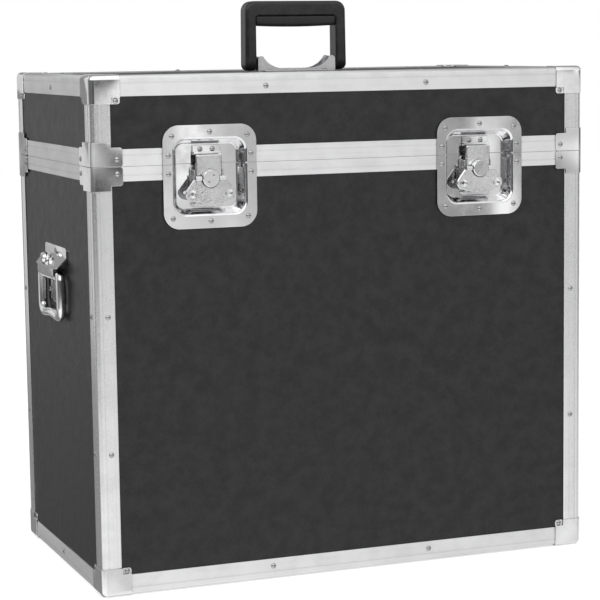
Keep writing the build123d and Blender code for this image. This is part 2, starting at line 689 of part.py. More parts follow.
def handle_grip():
    """Softer pad under the bar, a little fuller at its middle."""
    half = HANDLE_W / 2 - HANDLE_ARM
    top = HANDLE_TOP - HANDLE_BAR
    low = top - GRIP_H
    lines = Polyline((-half, low), (-half, top), (half, top), (half, low))
    lines += ThreePointArc((half, low), (0, low - GRIP_BELLY), (-half, low))
    plane = Plane((0, 0, 0), x_dir=(1, 0, 0), z_dir=(0, -1, 0))
    pad = extrude(plane * make_face(lines), HANDLE_D / 2 - 0.6, both=True)
    lower = [e for e in pad.edges() if e.center().Z < low - 0.3 and abs(e.center().Y) > 1]
    return fillet(lower, HANDLE_EDGE_R)


def handle_bracket():
    """Channel on the top panel with an ear at each end and scalloped walls."""
    half = EAR_OUT
    depth = HANDLE_D / 2
    top = TOP_Z + EAR_TALL
    body = span(-half, half, -depth, depth, TOP_Z, top)
    corners = body.edges().filter_by(Axis.Y).group_by(Axis.Z)[-1]
    body = fillet(corners, EAR_T * 2)
    body -= span(-half + EAR_T, half - EAR_T, -depth + EAR_T, depth - EAR_T, TOP_Z + EAR_T, top + 1)
    reach = half - 3 * EAR_T - SCALLOP_FLAT / 2
    sag = EAR_TALL - SCALLOP_FLOOR
    radius = (reach ** 2 + sag ** 2) / (2 * sag)
    middle = TOP_Z + SCALLOP_FLOOR + radius
    for s in SIDES:
        body -= Pos(s * SCALLOP_FLAT / 2, 0, middle) * Rot(90, 0, 0) * Cylinder(radius, 4 * depth)
    body -= span(-SCALLOP_FLAT / 2, SCALLOP_FLAT / 2, -2 * depth, 2 * depth, middle - radius, top + 1)
    foot = half - HANDLE_FOOT_X
    wide = depth + HANDLE_FOOT_Y
    body += span(-foot, foot, -wide, wide, TOP_Z, TOP_Z + EAR_T)
    return body - pivot_bar(HANDLE_PIN_R + RUN, HANDLE_W)


def handle_pins():
    """Headed pin at each ear."""
    inner = EAR_OUT - EAR_T
    reach = HANDLE_W / 2 - HANDLE_ARM / 2
    pins = []
    for s in SIDES:
        pin = Pos(s * (inner + reach) / 2, 0, HANDLE_PIVOT_Z) * Rot(0, 90, 0) * Cylinder(
            HANDLE_PIN_R, reach - inner)
        head = Pos(s * (inner - EAR_T / 2), 0, HANDLE_PIVOT_Z) * Rot(0, 90, 0) * Cylinder(
            HANDLE_PIN_HEAD_R, EAR_T)
        pins.append(pin + head)
    return pins


# Strap fitting on the left end: w is the distance out from the end panel

def end_plane():
    """Section plane of the fitting: x out of the case, y up."""
    return Plane((-FX + LEG_T, 0, 0), x_dir=(-1, 0, 0), z_dir=(0, 1, 0))


def bail_bracket():
    """Sheet bracket: flange, slope, and a tongue that curls under the bail."""
    t = FITTING_T
    out = BAIL_OUT + CURL_OUT
    z_top, z_slope, z_low = FITTING_TOP, SLOPE_TOP, SLOPE_LOW
    wide = [(0, z_top), (t, z_top), (t, z_slope), (out, z_low), (out - t, z_low),
            (0, z_slope - t * 0.6)]
    body = extrude(end_plane() * make_face(Polyline(*wide, close=True)), FITTING_W / 2, both=True)
    outline = Pos(0, (z_top + z_low) / 2) * Rectangle(FITTING_W, z_top - z_low)
    outline = fillet(outline.vertices().group_by(Axis.Y)[-1], FLANGE_R)
    outline = fillet(outline.vertices().group_by(Axis.Y)[0], SLOPE_R)
    body &= Plane((-FX, 0, 0), x_dir=(0, -1, 0), z_dir=(-1, 0, 0)) * extrude(outline, 2 * out, both=True)
    tongue = Pos(out - t / 2, (z_low + BAIL_PIVOT_Z) / 2) * Rectangle(t, z_low - BAIL_PIVOT_Z)
    curl = Pos(BAIL_OUT, BAIL_PIVOT_Z) * (Circle(CURL_OUT) - Circle(CURL_IN))
    keep = Pos(BAIL_OUT, BAIL_PIVOT_Z - CURL_OUT) * Rectangle(2 * CURL_OUT, CURL_OUT, align=LOW)
    curl &= keep
    curl -= Pos(0, BAIL_PIVOT_Z - CURL_OUT * CURL_UNDER) * Rectangle(BAIL_OUT, 2 * CURL_OUT, align=LOW)
    half = BAIL_HALF - BAIL_WIRE_R - TONGUE_CLEAR
    strip = extrude(end_plane() * (tongue + curl), half, both=True)
    body += strip
    dome_z = (z_slope + z_low) / 2 + DOME_PROUD
    dome = Pos(-FX + LEG_T - (t + out) / 2 - DOME_PROUD, DOME_Y, dome_z) * Sphere(DOME_R)
    cover = [(t / 2, z_slope), (out, z_low), (out, z_slope + DOME_R), (t / 2, z_slope + DOME_R)]
    outside = extrude(end_plane() * make_face(Polyline(*cover, close=True)), FITTING_W / 2, both=True)
    return body + (dome & outside)


def bail_plate():
    """Plate behind the bail, between it and the panel."""
    half = BAIL_HALF - BAIL_WIRE_R - TONGUE_CLEAR
    outline = Pos(0, (PLATE_LOW + PLATE_TOP) / 2) * RectangleRounded(2 * half, PLATE_TOP - PLATE_LOW, PLATE_R)
    plane = Plane((-FX + LEG_T, 0, 0), x_dir=(0, -1, 0), z_dir=(-1, 0, 0))
    return extrude(plane * outline, FITTING_T)


def bail():
    """Rectangular ring of round wire, its lower bar bowed up a little."""
    r = BAIL_CORNER_R
    tight = BAIL_TIGHT_R
    half = BAIL_HALF
    top = BAIL_PIVOT_Z
    low = BAIL_LOW + BAIL_WIRE_R
    reach = half - r
    upper = Line((0, top), (half - tight, top))
    bend = TangentArc(upper @ 1, (half, top - tight), tangent=upper % 1)
    side = Line(bend @ 1, (half, low + r))
    corner = TangentArc(side @ 1, (reach, low), tangent=side % 1)
    rise = TangentArc(corner @ 1, (reach / 2, low + BAIL_BOW / 2), tangent=corner % 1)
    crown = TangentArc(rise @ 1, (0, low + BAIL_BOW), tangent=rise % 1)
    half_path = Curve() + [upper, bend, side, corner, rise, crown]
    plane = Plane((-FX + LEG_T - BAIL_OUT, 0, 0), x_dir=(0, 1, 0), z_dir=(1, 0, 0))
    path = Wire((plane * half_path).edges())
    wire = sweep(Plane(path @ 0, z_dir=path % 0) * Circle(BAIL_WIRE_R), path=path)
    return wire + mirror(wire, about=Plane.XZ)


def both_ends(shape):
    """A piece of the left end and its mirror on the right."""
    return shape, mirror(shape, about=Plane.YZ)


# Hinges, in the hinge's own section: distance out from the back, height from the seam

def hinge_leaf(up):
    """Leaf on the rail, stepped down onto the panel, with its share of the knuckles."""
    t = LEAF_T
    rail = (LID_RAIL_H if up > 0 else BASE_RAIL_H) + SEAM_GAP / 2
    gap = SEAM_GAP
    points = [(0, gap), (t, gap), (t, rail + FIT + t), (t - LEG_T, rail + FIT + t), (t - LEG_T, LEAF_H),
              (-LEG_T, LEAF_H), (-LEG_T, rail + FIT), (0, rail + FIT)]
    points = [(out, up * h) for out, h in points]
    plane = Plane((0, FY, PIVOT_Z), x_dir=(0, 1, 0), z_dir=(1, 0, 0))
    leaf = extrude(plane * make_face(Polyline(*points, close=True)), HINGE_W / 2, both=True)
    leaf = fillet(leaf.edges().filter_by(Axis.Y).sort_by(lambda e: -up * e.center().Z)[0:2], LEAF_R)
    pitch = HINGE_W / KNUCKLES
    for i in range(KNUCKLES):
        x0 = -HINGE_W / 2 + i * pitch
        mine = (i % 2 == 1) == (up > 0)
        if mine:
            middle = x0 + pitch / 2
            barrel = Pos(middle, PIVOT_Y, PIVOT_Z) * Rot(0, 90, 0) * Cylinder(
                KNUCKLE_R, pitch - KNUCKLE_GAP)
            leaf += barrel
        else:
            z0, z1 = sorted((PIVOT_Z, PIVOT_Z + up * LEAF_NOTCH))
            leaf -= span(x0 - KNUCKLE_GAP, x0 + pitch + KNUCKLE_GAP, FY, FY + t, z0, z1)
    bore = Pos(0, PIVOT_Y, PIVOT_Z) * Rot(0, 90, 0) * Cylinder(PIN_R + RUN, 2 * HINGE_W)
    return leaf - bore


def hinge_pin():
    """Pin headed at both ends."""
    pin = Cylinder(PIN_R, HINGE_W + 2 * PIN_HEAD_T)
    for s in SIDES:
        pin += Pos(0, 0, s * (HINGE_W + PIN_HEAD_T) / 2) * Cylinder(PIN_HEAD_R, PIN_HEAD_T)
    return Pos(0, PIVOT_Y, PIVOT_Z) * Rot(0, 90, 0) * pin


def both_hinges(shape):
    """A hinge piece at both places along the back."""
    return [Pos(s * HINGE_X, 0, 0) * shape for s in SIDES]


# Foam

def floor_foam():
    """Pad on the bottom panel's inner legs."""
    z0 = FZ0 + SLOT
    return span(-FX + SLOT, FX - SLOT, -FY + SLOT, FY - SLOT, z0, z0 + FLOOR_FOAM_T)


def wall_foam():
    """Four pads against the inner legs, the front one pocketed for the dishes."""
    z0 = FZ0 + SLOT + FLOOR_FOAM_T
    x1 = FX - SLOT
    y1 = FY - SLOT
    t = WALL_FOAM_T
    pads = []
    for s in SIDES:
        ya, yb = sorted((s * y1, s * (y1 - t)))
        pads.append(span(-x1, x1, ya, yb, z0, WALL_FOAM_TOP))
        xa, xb = sorted((s * x1, s * (x1 - t)))
        pads.append(span(xa, xb, -y1 + t, y1 - t, z0, WALL_FOAM_TOP))
    half = OPEN_W / 2 + DISH_T + FOAM_CLEAR
    low = DISH_Z - OPEN_H / 2 - DISH_T - FOAM_CLEAR
    for s in SIDES:
        pocket = span(s * LATCH_X - half, s * LATCH_X + half, -FY, -y1 + FOAM_POCKET, low, CASE_H)
        pads[0] -= pocket
    return pads


def lid_foam():
    """Pad against the lid's inner legs."""
    z1 = FZ1 - SLOT
    return span(-FX + SLOT, FX - SLOT, -FY + SLOT, FY - SLOT, z1 - LID_FOAM_T, z1)


# Rivets

def frame_rivets(lid):
    """Rivets along the extrusions of the lid or the base."""
    heads = []
    for face in ("front", "back"):
        for s in SIDES:
            x = s * LONG_RAIL_RIVET_X
            heads.append(rivet(on_face(face, x, FZ1 - RIVET_IN if lid else FZ0 + RIVET_IN)))
            if not lid:
                for drop in POST_RIVET_DROPS:
                    heads.append(rivet(on_face(face, s * (FX - RIVET_IN), SEAM_Z - drop)))
    for face in ("left", "right"):
        heads.append(rivet(on_face(face, 0, FZ1 - RIVET_IN if lid else FZ0 + RIVET_IN)))
        if not lid:
            for s in SIDES:
                for drop in POST_RIVET_DROPS:
                    heads.append(rivet(on_face(face, s * (FY - RIVET_IN), SEAM_Z - drop)))
    flat = "top" if lid else "bottom"
    height = RIVET_H if lid else FLUSH_H
    for s in SIDES:
        heads.append(rivet(on_face(flat, s * (FX - RIVET_IN), 0), height))
        for t in SIDES:
            heads.append(rivet(on_face(flat, t * LONG_RAIL_RIVET_X, s * (FY - RIVET_IN)), height))
    return heads


def cap_rivets(lid):
    """A rivet on each lug of the four caps."""
    side_in = (CAP_T + LEG + FIT + CAP_SIDE + CAP_T) / 2
    tall_in = (CAP_T + LEG + FIT + CAP_TALL + CAP_T) / 2
    out = CAP_T - LEG_T
    x = CASE_W / 2 - side_in
    y = CASE_D / 2 - side_in
    z = CASE_H - tall_in if lid else tall_in
    heads = []
    for s in SIDES:
        for face in ("front", "back"):
            heads.append(rivet(on_face(face, s * x, z, out)))
        for face in ("left", "right"):
            heads.append(rivet(on_face(face, s * y, z, out)))
        for t in SIDES:
            height = RIVET_H if lid else FLUSH_H
            heads.append(rivet(on_face("top" if lid else "bottom", s * x, t * y, out), height))
    return heads


def brace_rivets(up):
    """One rivet on each leg of the four braces."""
    z = SEAM_Z + up * BRACE_H * BRACE_RIVET_UP
    x = CASE_W / 2 - BRACE_FRONT + BRACE_RIVET_IN
    y = CASE_D / 2 - BRACE_END + BRACE_RIVET_IN
    heads = []
    for s in SIDES:
        for face in ("front", "back"):
            heads.append(rivet(on_face(face, s * x, z, CAP_T)))
        for face in ("left", "right"):
            heads.append(rivet(on_face(face, s * y, z, CAP_T)))
    return heads


def dish_rivets(upper):
    """Rivets on the flange of both dishes, and on the plate on each floor."""
    rim_x = (DISH_W + OPEN_W) / 4
    rim_y = (DISH_H + OPEN_H) / 4
    corner_x = rim_x - DISH_CORNER_IN
    corner_y = rim_y - DISH_CORNER_IN
    if upper:
        seam = DISH_DROP + DISH_SEAM_OFF
        places = [(0, rim_y), (-corner_x, corner_y), (corner_x, corner_y), (-rim_x, seam), (rim_x, seam)]
        floor = [(s * KEEPER_RIVET_X, KEEPER_LOW + KEEPER_TALL - KEEPER_RIVET_IN) for s in SIDES]
        floor_z = -DISH_DEPTH + KEEPER_T
    else:
        seam = DISH_DROP - DISH_SEAM_OFF
        places = [(0, -rim_y), (-corner_x, -corner_y), (corner_x, -corner_y), (-rim_x, seam), (rim_x, seam)]
        floor = [(s * BRACKET_RIVET_X, BRACKET_LOW + BRACKET_RIVET_IN) for s in SIDES]
        floor_z = -DISH_DEPTH + BRACKET_T
    heads = []
    for s in SIDES:
        for x, y in places:
            heads.append(latch_plane(s * LATCH_X) * rivet(Plane((x, y, 0))))
        for x, y in floor:
            heads.append(latch_plane(s * LATCH_X) * rivet(Plane((x, y, floor_z))))
    return heads


def hinge_rivets(up):
    """Four rivets on each hinge leaf."""
    rail = LID_RAIL_H if up > 0 else BASE_RAIL_H
    places = [(rail * LEAF_RIVET_UP, LEAF_T), (LEAF_H - LEAF_RIVET_IN, LEAF_T - LEG_T)]
    heads = []
    for s in SIDES:
        for t in SIDES:
            for h, out in places:
                heads.append(rivet(on_face("back", s * HINGE_X + t * LEAF_RIVET_X, SEAM_Z + up * h, out)))
    return heads


def fitting_rivets():
    """Rivets of the strap fittings on both ends."""
    out = FITTING_T - LEG_T
    heads = []
    plate_y = BAIL_HALF - BAIL_WIRE_R - TONGUE_CLEAR - PLATE_RIVET_IN
    for face in ("left", "right"):
        heads.append(rivet(on_face(face, 0, (FITTING_TOP + SLOPE_TOP) / 2, out)))
        for s in SIDES:
            heads.append(rivet(on_face(face, s * plate_y, (PLATE_LOW + PLATE_TOP) / 2, out), FLUSH_H))
    return heads


def handle_rivets():
    """Rivets through the feet of the handle's bracket."""
    side = (HANDLE_D + HANDLE_FOOT_Y) / 2
    places = [(s * (EAR_OUT - HANDLE_FOOT_X - HANDLE_RIVET_IN), t * side) for s in SIDES for t in SIDES]
    return [rivet(on_face("top", x, y, EAR_T - LEG_T)) for x, y in places]


# Build every node

def build():
    """All nodes by name."""
    rail = double_angle()
    lid_low = LID_Z + GROOVE_DEEP + INNER_T
    base_top = BASE_Z - INNER_T
    nodes = {}
    for face in ("front", "back", "left", "right"):
        nodes["base_" + face + "_panel"] = wall_panel(face, FZ0 + SLOT, base_top)
        nodes["lid_" + face + "_panel"] = wall_panel(face, lid_low, FZ1 - SLOT)
    nodes["base_bottom_panel"] = flat_panel(FZ0 + LEG_T)
    nodes["lid_top_panel"] = flat_panel(FZ1 - PANEL_IN)
    nodes["base_bottom_rails"] = group(ring(rail, FZ0, 1))
    nodes["lid_top_rails"] = group(ring(rail, FZ1, -1))
    nodes["base_corner_posts"] = group(corner_posts(FZ0 + LEG, BASE_Z - BASE_RAIL_H))
    nodes["lid_corner_posts"] = group(corner_posts(LID_Z + LID_RAIL_H, FZ1 - LEG))
    nodes["base_closure_rails"] = group(closure_rails(base_closure_section(), BASE_Z))
    nodes["lid_closure_rails"] = group(closure_rails(lid_closure_section(), LID_Z))
    nodes["base_corner_caps"] = group(cap_corners(False))
    nodes["lid_corner_caps"] = group(cap_corners(True))
    nodes["base_braces"] = group(braces(-1))
    nodes["lid_braces"] = group(braces(1))
    dish = latch_dish()
    pieces = {
        "upper_dish": dish_half(dish, True), "lower_dish": dish_half(dish, False), "keeper": keeper(),
        "latch_bracket": latch_bracket(), "spindle": spindle(), "wing_pin": wing_pin(),
        "wing": wing(), "hook": hook(),
    }
    for s, side in ((-1, "left_"), (1, "right_")):
        for name, shape in pieces.items():
            nodes[side + name] = latch_plane(s * LATCH_X) * shape
    nodes["handle"] = handle()
    nodes["handle_grip"] = handle_grip()
    nodes["handle_bracket"] = handle_bracket()
    nodes["handle_pins"] = group(handle_pins())
    for name, shape in (("bail_bracket", bail_bracket()), ("bail_plate", bail_plate()), ("bail", bail())):
        nodes["left_" + name], nodes["right_" + name] = both_ends(shape)
    nodes["lid_hinge_leaves"] = group(both_hinges(hinge_leaf(1)))
    nodes["base_hinge_leaves"] = group(both_hinges(hinge_leaf(-1)))
    nodes["hinge_pins"] = group(both_hinges(hinge_pin()))
    nodes["base_floor_foam"] = floor_foam()
    nodes["base_wall_foam"] = group(wall_foam())
    nodes["lid_foam"] = lid_foam()
    nodes["lid_rivets"] = group(frame_rivets(True) + cap_rivets(True) + brace_rivets(1)
                                + dish_rivets(True) + hinge_rivets(1) + handle_rivets())
    nodes["base_rivets"] = group(frame_rivets(False) + cap_rivets(False) + brace_rivets(-1)
                                 + dish_rivets(False) + hinge_rivets(-1) + fitting_rivets())
    return nodes


def main():
    """Write one STEP file for each node."""
    os.makedirs("parts", exist_ok=True)
    for name, shape in build().items():
        placed = Pos(0, Y_SHIFT, 0) * shape
        solids = placed.solids()
        export_step(solids[0] if len(solids) == 1 else Compound(list(solids)), "parts/" + name + ".step")
    print("shift", round(Y_SHIFT, 3), "lid pivot", round(PIVOT_Y + Y_SHIFT, 3), PIVOT_Z)
    print("handle pivot", HANDLE_PIVOT_Z, "bail pivot x", round(-FX + LEG_T - BAIL_OUT, 3), BAIL_PIVOT_Z)
    print("spindle and wing pin y", round(-FY - DISH_T + Y_SHIFT, 3), "z", DISH_Z - AXIS_DROP)


if __name__ == "__main__":
    main()
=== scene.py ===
"""Aluminium camera case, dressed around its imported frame.

The frame holds every rigid piece at its real size. This script gives those pieces their finishes
and softens their edges. Four things get meshes of their own, because their solids are plainer than
the real ones: the rivets, the handle, its grip and the foam.
"""

import json
import logging
import math
from abc import ABC, abstractmethod
from dataclasses import dataclass
from enum import Enum

import bpy
from mathutils import Matrix, Vector

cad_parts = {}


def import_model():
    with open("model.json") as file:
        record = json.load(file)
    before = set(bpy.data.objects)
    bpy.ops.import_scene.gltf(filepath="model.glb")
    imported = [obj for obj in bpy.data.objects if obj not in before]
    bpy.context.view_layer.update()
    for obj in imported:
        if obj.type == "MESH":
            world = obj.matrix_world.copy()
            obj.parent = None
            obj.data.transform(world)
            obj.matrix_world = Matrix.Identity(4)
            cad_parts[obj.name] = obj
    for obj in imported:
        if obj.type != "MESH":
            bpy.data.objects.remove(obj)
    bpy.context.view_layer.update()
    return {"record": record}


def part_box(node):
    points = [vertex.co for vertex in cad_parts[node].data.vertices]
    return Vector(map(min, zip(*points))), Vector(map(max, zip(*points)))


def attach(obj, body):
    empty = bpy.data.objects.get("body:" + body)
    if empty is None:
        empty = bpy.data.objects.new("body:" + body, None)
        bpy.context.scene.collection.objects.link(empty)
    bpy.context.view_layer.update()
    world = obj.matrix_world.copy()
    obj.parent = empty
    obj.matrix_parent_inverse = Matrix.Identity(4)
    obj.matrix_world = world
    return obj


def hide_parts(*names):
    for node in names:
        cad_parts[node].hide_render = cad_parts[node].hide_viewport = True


Socket = bpy.types.NodeSocket
Numbers = tuple[float, ...]
Amount = Socket | float             # a number, or the output that gives it
Colour = Socket | Numbers           # a colour, or the output that gives it

LOG = logging.getLogger("camera_case")
MM = 0.001

NOISE_SPAN = (0.3, 0.7)             # all noise lies in here, but for rare peaks
MIX_COLOURS = (6, 7)                # the two colour inputs of a Mix node
MIX_RESULT = 2                      # and its colour output
QUARTER_TURN = 0.25                 # as the shader counts the turn of its anisotropy
MERGE_WITHIN = 0.002 * MM           # corners of a CAD mesh that are one corner
FLAT_WITHIN = math.radians(0.3)     # faces of a CAD mesh that are one flat face
DECIMALS = 7                        # of a metre, to which corners are put in order


class Slot(Enum):
    """Material slots of the record."""

    LAMINATE = "laminate"
    ALUMINIUM = "aluminium"
    PLATED = "plated_steel"
    TURNED = "turned_steel"
    PRESSED = "pressed_steel"
    RIVET = "rivet_steel"
    PLASTIC = "black_plastic"
    GRIP = "grip_rubber"
    FOAM = "foam"


@dataclass(frozen=True)
class CadNode:
    """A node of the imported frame, with its slot and the body that it moves with."""

    name: str
    slot: Slot
    body: str


# Shader nodes

class Nodes:
    """Node tree with a short call for each kind of node used here."""

    def __init__(self, tree: bpy.types.NodeTree) -> None:
        """Work on the node tree of a material or a world."""
        self.tree = tree

    def node(self, kind: str, **settings: object) -> bpy.types.Node:
        """Add a node and set its properties.

        Args:
            kind: Node type.
            **settings: Property values by name.

        Returns:
            The new node.
        """
        node = self.tree.nodes.new(kind)
        for name, value in settings.items():
            setattr(node, name, value)
        return node

    def link(self, source: Socket, target: Socket) -> None:
        """Join an output to an input."""
        self.tree.links.new(source, target)

    def give(self, target: Socket, value: Amount | Colour) -> None:
        """Set an input, or join an output to it.

        Args:
            target: The input.
            value: A number, a colour, or the output that gives either.
        """
        if isinstance(value, tuple):
            target.default_value = (*value, 1.0)
        elif isinstance(value, (int, float)):
            target.default_value = value
        else:
            self.link(value, target)

    def maths(self, operation: str, first: Amount, second: Amount) -> Socket:
        """One arithmetic step.

        Args:
            operation: Math operation.
            first: Number or output.
            second: Number or output.

        Returns:
            The result.
        """
        node = self.node("ShaderNodeMath", operation=operation)
        for target, value in zip(node.inputs, (first, second)):
            self.give(target, value)
        return node.outputs[0]

    def spread(self, value: Socket, span: Numbers, to_low: Amount, to_high: Amount) -> Socket:
        """Turn one amount smoothly into another while a value crosses a span.

        Args:
            value: The value.
            span: Where the change starts and ends.
            to_low: Result below the span.
            to_high: Result above the span.

        Returns:
            The result.
        """
        node = self.node("ShaderNodeMapRange", interpolation_type="SMOOTHSTEP")
        self.link(value, node.inputs["Value"])
        for name, amount in zip(("From Min", "From Max", "To Min", "To Max"), (*span, to_low, to_high)):
            self.give(node.inputs[name], amount)
        return node.outputs["Result"]


class NodeSheet(Nodes):
    """Node tree of one material, around its Principled shader."""

    def __init__(self, name: str) -> None:
        """Start a material with a Principled shader.

        Args:
            name: Name of the material.
        """
        self.material = bpy.data.materials.new(name)
        self.material.use_nodes = True
        super().__init__(self.material.node_tree)
        self.shader = self.tree.nodes["Principled BSDF"]
        self.place = self.node("ShaderNodeTexCoord").outputs["Object"]

    def feed(self, name: str, value: Amount | Colour) -> None:
        """Give the shader's named input a number, a colour or an output."""
        self.give(self.shader.inputs[name], value)

    def placed(self, shift: Numbers = (0.0, 0.0, 0.0), stretch: Numbers = (1.0, 1.0, 1.0)) -> Socket:
        """Object coordinates, moved and stretched.

        Args:
            shift: Distance on x, y and z.
            stretch: Scale on x, y and z.

        Returns:
            The changed coordinates.
        """
        mapping = self.node("ShaderNodeMapping")
        mapping.inputs["Location"].default_value = shift
        mapping.inputs["Scale"].default_value = stretch
        self.link(self.place, mapping.inputs["Vector"])
        return mapping.outputs["Vector"]

    def noise(self, vector: Socket, scale: float, octaves: float = 2.0, rough: float = 0.5) -> Socket:
        """Noise from 0 to 1.

        Args:
            vector: Coordinates to read.
            scale: Spots per metre of those coordinates.
            octaves: Number of finer layers.
            rough: Strength of each layer beside the last.

        Returns:
            The noise.
        """
        noise = self.node("ShaderNodeTexNoise")
        for name, amount in (("Scale", scale), ("Detail", octaves), ("Roughness", rough)):
            noise.inputs[name].default_value = amount
        self.link(vector, noise.inputs["Vector"])
        return noise.outputs["Fac"]

    def cells(self, scale: float) -> Socket:
        """Distance from the middle of the nearest of many packed cells.

        Args:
            scale: Cells per metre.

        Returns:
            The distance.
        """
        voronoi = self.node("ShaderNodeTexVoronoi", feature="F1")
        voronoi.inputs["Scale"].default_value = scale
        self.link(self.place, voronoi.inputs["Vector"])
        return voronoi.outputs["Distance"]

    def between(self, factor: Socket, first: Colour, second: Colour) -> Socket:
        """Blend two colours.

        Args:
            factor: 0 gives the first and 1 the second.
            first: Colour or output.
            second: Colour or output.

        Returns:
            The blended colour.
        """
        node = self.node("ShaderNodeMix", data_type="RGBA")
        self.link(factor, node.inputs["Factor"])
        for index, colour in zip(MIX_COLOURS, (first, second)):
            self.give(node.inputs[index], colour)
        return node.outputs[MIX_RESULT]

    def relief(self, height: Socket, depth: float, strength: float = 1.0,
               under: Socket | None = None) -> Socket:
        """Bump from a height.

        Args:
            height: Height from 0 to 1.
            depth: Height of 1, in metres.
            strength: Share of the full effect.
            under: Normal from another bump, below this one.

        Returns:
            The normal.
        """
        bump = self.node("ShaderNodeBump")
        bump.inputs["Distance"].default_value = depth
        bump.inputs["Strength"].default_value = strength
        self.link(height, bump.inputs["Height"])
        if under is not None:
            self.link(under, bump.inputs["Normal"])
        return bump.outputs["Normal"]


# Finishes

class Run(Enum):
    """How the fine lines of a drawn metal lie."""

    AROUND = "level, along the ring of rails"
    UPRIGHT = "upright"
    NONE = "no lines"


@dataclass(frozen=True)
class Metal:
    """Bare or plated metal with fine drawn lines, cloudy polish and shallow waves."""

    name: str
    light: Numbers
    dark: Numbers
    gloss: float                            # roughness where it is cleanest
    dull: float                             # roughness where it is cloudiest
    cloud: float = 30.0 * MM
    cloud_span: Numbers = (0.35, 0.7)       # noise where a cloud starts, and where it is full
    scuff: float = 1.0 * MM
    scuff_rough: Numbers = (-0.02, 0.03)    # roughness that the scuffs add, from least to most
    run: Run = Run.NONE
    along: float = 0.004                    # width of a line, as a share of its length
    line_pitch: float = 0.7 * MM
    line_depth: float = 0.0
    band_pitch: float = 5.0 * MM
    band_depth: float = 0.0
    band_tone: float = 0.2                  # share of the clouds that shows in the clean bands
    wave: float = 80.0 * MM
    wave_depth: float = 0.0
    wave_shift: Numbers = (0.0, 0.0, 0.0)
    grain: float = 1.6 * MM
    grain_depth: float = 0.0
    anisotropy: float = 0.0
    # painted shade: ambient occlusion darkens crevices and joins between parts, where shade falls
    crevice_shade: float = 0.3                      # painted shade: tone left in the crevices and joins, as a share of the dark one
    crevice_shade_reach: float = 3.0 * MM
    crevice_shade_span: Numbers = (0.35, 0.85)      # openness where the painted shade is full, and where it ends
    crevice_shade_samples: int = 4

    def lines(self, sheet: NodeSheet, pitch: float) -> Socket:
        """Noise drawn out along the run of the metal.

        Args:
            sheet: Material's nodes.
            pitch: Distance between lines.

        Returns:
            The noise.
        """
        upright = (1.0, 1.0, self.along)
        level = (self.along, self.along, 1.0)
        stretch = upright if self.run is Run.UPRIGHT else level
        return sheet.noise(sheet.placed(stretch=stretch), 1 / pitch)

    def colour(self, sheet: NodeSheet, cloud: Socket, bands: Socket | None) -> Socket:
        """Clouds, weaker between the bands, with painted shade in the crevices and joins.

        Args:
            sheet: Material's nodes.
            cloud: Noise of the clouds.
            bands: Noise of the bands, if the metal has them.

        Returns:
            The colour.
        """
        tone = sheet.spread(cloud, self.cloud_span, 0.0, 1.0)
        if bands is not None:
            tone = sheet.maths("MULTIPLY", tone, sheet.spread(bands, NOISE_SPAN, self.band_tone, 1.0))
        clean = sheet.between(tone, self.light, self.dark)
        # painted shade: darker where ambient occlusion finds the surface closed in
        crevice = sheet.node("ShaderNodeAmbientOcclusion", samples=self.crevice_shade_samples)
        crevice.inputs["Distance"].default_value = self.crevice_shade_reach
        openness = sheet.spread(crevice.outputs["AO"], self.crevice_shade_span, 0.0, 1.0)
        return sheet.between(openness, tuple(self.crevice_shade * channel for channel in self.dark), clean)

    def normal(self, sheet: NodeSheet, bands: Socket | None) -> Socket | None:
        """Waves, bands, lines and grain, laid one over the other.

        Args:
            sheet: Material's nodes.
            bands: Noise of the bands, if the metal has them.

        Returns:
            The normal, or None for a metal that is smooth all over.
        """
        normal = None
        if self.wave_depth:
            waves = sheet.noise(sheet.placed(shift=self.wave_shift), 1 / self.wave, octaves=0.0)
            normal = sheet.relief(waves, self.wave_depth)
        if bands is not None:
            normal = sheet.relief(bands, self.band_depth, under=normal)
            normal = sheet.relief(self.lines(sheet, self.line_pitch), self.line_depth, under=normal)
        if self.grain_depth:
            normal = sheet.relief(sheet.noise(sheet.place, 1 / self.grain), self.grain_depth, under=normal)
        return normal

    def build(self) -> bpy.types.Material:
        """Make the material.

        Returns:
            The material.
        """
        sheet = NodeSheet(self.name)
        cloud = sheet.noise(sheet.place, 1 / self.cloud, octaves=5.0, rough=0.65)
        bands = None if self.run is Run.NONE else self.lines(sheet, self.band_pitch)
        scuffs = sheet.spread(sheet.noise(sheet.place, 1 / self.scuff), NOISE_SPAN, *self.scuff_rough)
        rough = sheet.spread(cloud, self.cloud_span, self.gloss, self.dull)
        sheet.feed("Base Color", self.colour(sheet, cloud, bands))
        sheet.feed("Roughness", sheet.maths("ADD", rough, scuffs))
        sheet.feed("Metallic", 1.0)
        if self.anisotropy:
            sheet.feed("Anisotropic", self.anisotropy)
            sheet.feed("Anisotropic Rotation", QUARTER_TURN if self.run is Run.AROUND else 0.0)
            tangent = sheet.node("ShaderNodeTangent", direction_type="RADIAL", axis="Z")
            sheet.feed("Tangent", tangent.outputs["Tangent"])
        normal = self.normal(sheet, bands)
        if normal is not None:
            sheet.feed("Normal", normal)
        return sheet.material


